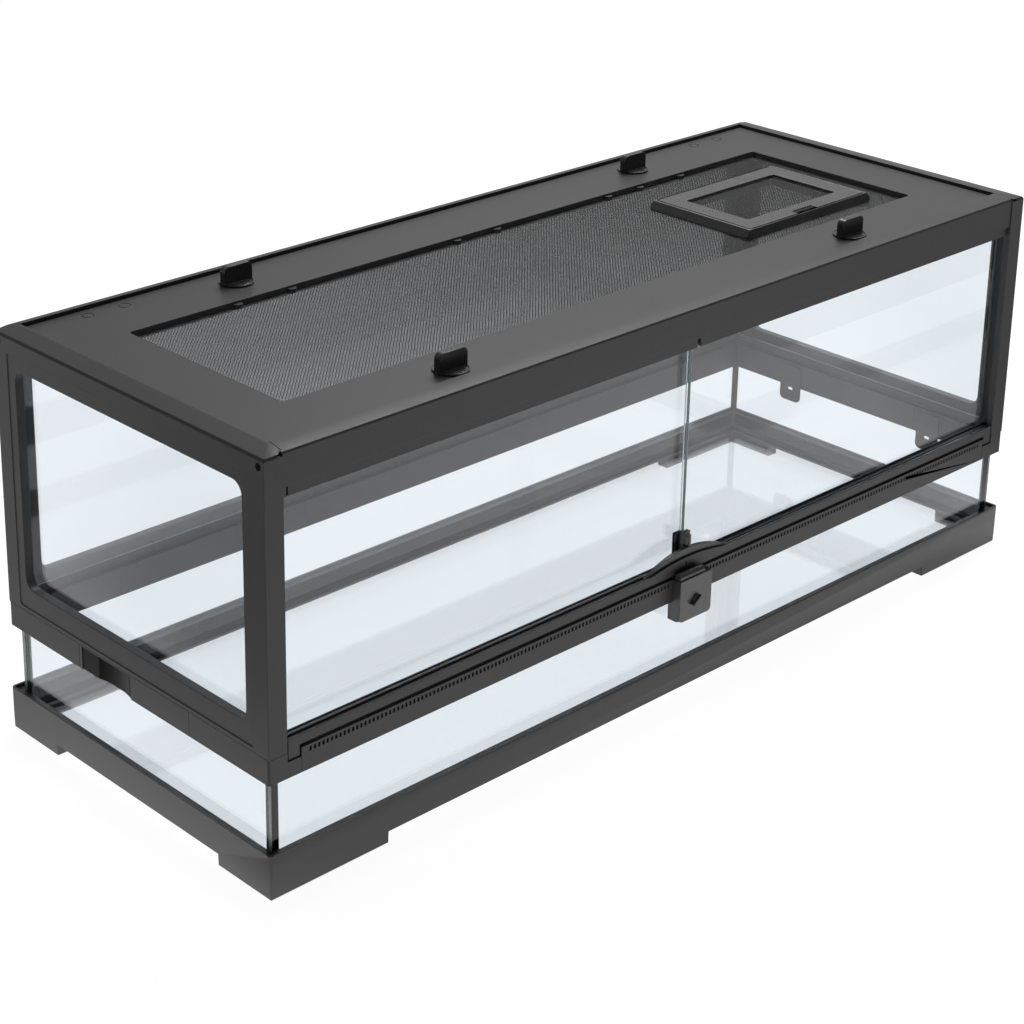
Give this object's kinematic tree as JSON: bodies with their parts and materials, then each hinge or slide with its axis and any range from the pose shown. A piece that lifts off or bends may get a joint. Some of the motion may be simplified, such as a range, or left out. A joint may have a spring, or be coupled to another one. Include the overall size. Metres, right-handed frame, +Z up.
{
  "type": "reptile terrarium",
  "caption": "Long reptile terrarium: glass basin in a footed tray, vented mid band, sliding front glass doors with a lock, lift-off mesh screen cover with turn knobs and a feeder hatch.",
  "frame": {"origin": "floor level, at the middle of the footprint, which counts the lock that stands out in front of the base", "axes": "+X along the length toward the feeder hatch's end, +Y toward the back, +Z up"},
  "size_m": [1.2, 0.465, 0.4881],
  "materials": {
    "black_plastic": "fine matte moulded plastic, near-black grey",
    "gloss_black": "glossy black moulded plastic",
    "clear_glass": "clear float glass, faint blue tint",
    "black_silicone": "smooth black silicone sealant",
    "steel": "bright zinc-plated steel",
    "wire_mesh": "black coated woven wire"
  },
  "bodies": {
    "housing": {"base_tray": "black_plastic", "floor_glass": "clear_glass", "basin_glass_front": "clear_glass", "basin_glass_rear": "clear_glass", "basin_glass_left": "clear_glass", "basin_glass_right": "clear_glass", "basin_sealant": "black_silicone", "basin_seams": "black_silicone", "band_corner_front_left": "black_plastic", "band_corner_front_right": "black_plastic", "band_corner_rear_left": "black_plastic", "band_corner_rear_right": "black_plastic", "band_side_left": "black_plastic", "port_cover": "gloss_black", "band_side_right": "black_plastic", "band_rear": "black_plastic", "band_front": "black_plastic", "vent_strip": "black_plastic", "band_tab_front": "black_plastic", "band_tab_rear": "black_plastic", "door_track_lower": "black_plastic", "track_guard": "gloss_black", "side_frame_left": "black_plastic", "side_frame_right": "black_plastic", "side_glass_left": "clear_glass", "side_glass_right": "clear_glass", "rear_frame": "black_plastic", "rear_glass": "clear_glass", "front_top_rail": "black_plastic", "door_track_upper": "black_plastic", "rear_top_rail": "black_plastic", "frame_screws": "steel", "lock_body": "black_plastic"},
    "door_left": {"door_glass_left": "clear_glass", "door_clip_left": "gloss_black"},
    "door_right": {"door_glass_right": "clear_glass", "door_clip_right": "gloss_black"},
    "lock_turn": {"lock_turn_knob": "gloss_black", "lock_cam": "steel"},
    "screen": {"screen_frame": "black_plastic", "screen_mesh": "wire_mesh", "mesh_retainer": "black_plastic", "feeder_bezel": "gloss_black"},
    "turn_front_left": {"knob_front_left": "gloss_black", "tongue_front_left": "gloss_black"},
    "turn_front_right": {"knob_front_right": "gloss_black", "tongue_front_right": "gloss_black"},
    "turn_rear_left": {"knob_rear_left": "gloss_black", "tongue_rear_left": "gloss_black"},
    "turn_rear_right": {"knob_rear_right": "gloss_black", "tongue_rear_right": "gloss_black"},
    "hatch": {"feeder_door": "black_plastic", "feeder_mesh": "wire_mesh", "feeder_hinge_pins": "steel"},
    "hatch_latch": {"feeder_latch": "gloss_black"}
  },
  "joints": [
    {"name": "door_left_slide", "type": "slide", "parent": "housing", "child": "door_left", "axis": [1, 0, 0], "range_m": [0, 0.56]},
    {"name": "door_right_slide", "type": "slide", "parent": "housing", "child": "door_right", "axis": [-1, 0, 0], "range_m": [0, 0.56]},
    {"name": "lock_turn_hinge", "type": "hinge", "parent": "housing", "child": "lock_turn", "pos_m": [0, -0.2255, 0.127], "axis": [0, 1, 0], "range_deg": [0, 90]},
    {"name": "screen_lift", "type": "slide", "parent": "housing", "child": "screen", "axis": [0, 0, 1], "range_m": [0, 0.15]},
    {"name": "turn_front_left_hinge", "type": "hinge", "parent": "screen", "child": "turn_front_left", "pos_m": [-0.318, -0.1645, 0.466], "axis": [0, 0, 1], "range_deg": [0, 90]},
    {"name": "turn_front_right_hinge", "type": "hinge", "parent": "screen", "child": "turn_front_right", "pos_m": [0.318, -0.1645, 0.466], "axis": [0, 0, 1], "range_deg": [0, 90]},
    {"name": "turn_rear_left_hinge", "type": "hinge", "parent": "screen", "child": "turn_rear_left", "pos_m": [-0.318, 0.1795, 0.466], "axis": [0, 0, 1], "range_deg": [0, 90]},
    {"name": "turn_rear_right_hinge", "type": "hinge", "parent": "screen", "child": "turn_rear_right", "pos_m": [0.318, 0.1795, 0.466], "axis": [0, 0, 1], "range_deg": [0, 90]},
    {"name": "hatch_hinge", "type": "hinge", "parent": "screen", "child": "hatch", "pos_m": [0.343, 0.0595, 0.4694], "axis": [-1, 0, 0], "range_deg": [0, 105]},
    {"name": "hatch_latch_slide", "type": "slide", "parent": "hatch", "child": "hatch_latch", "axis": [0, -1, 0], "range_m": [0, 0.0026]}
  ]
}
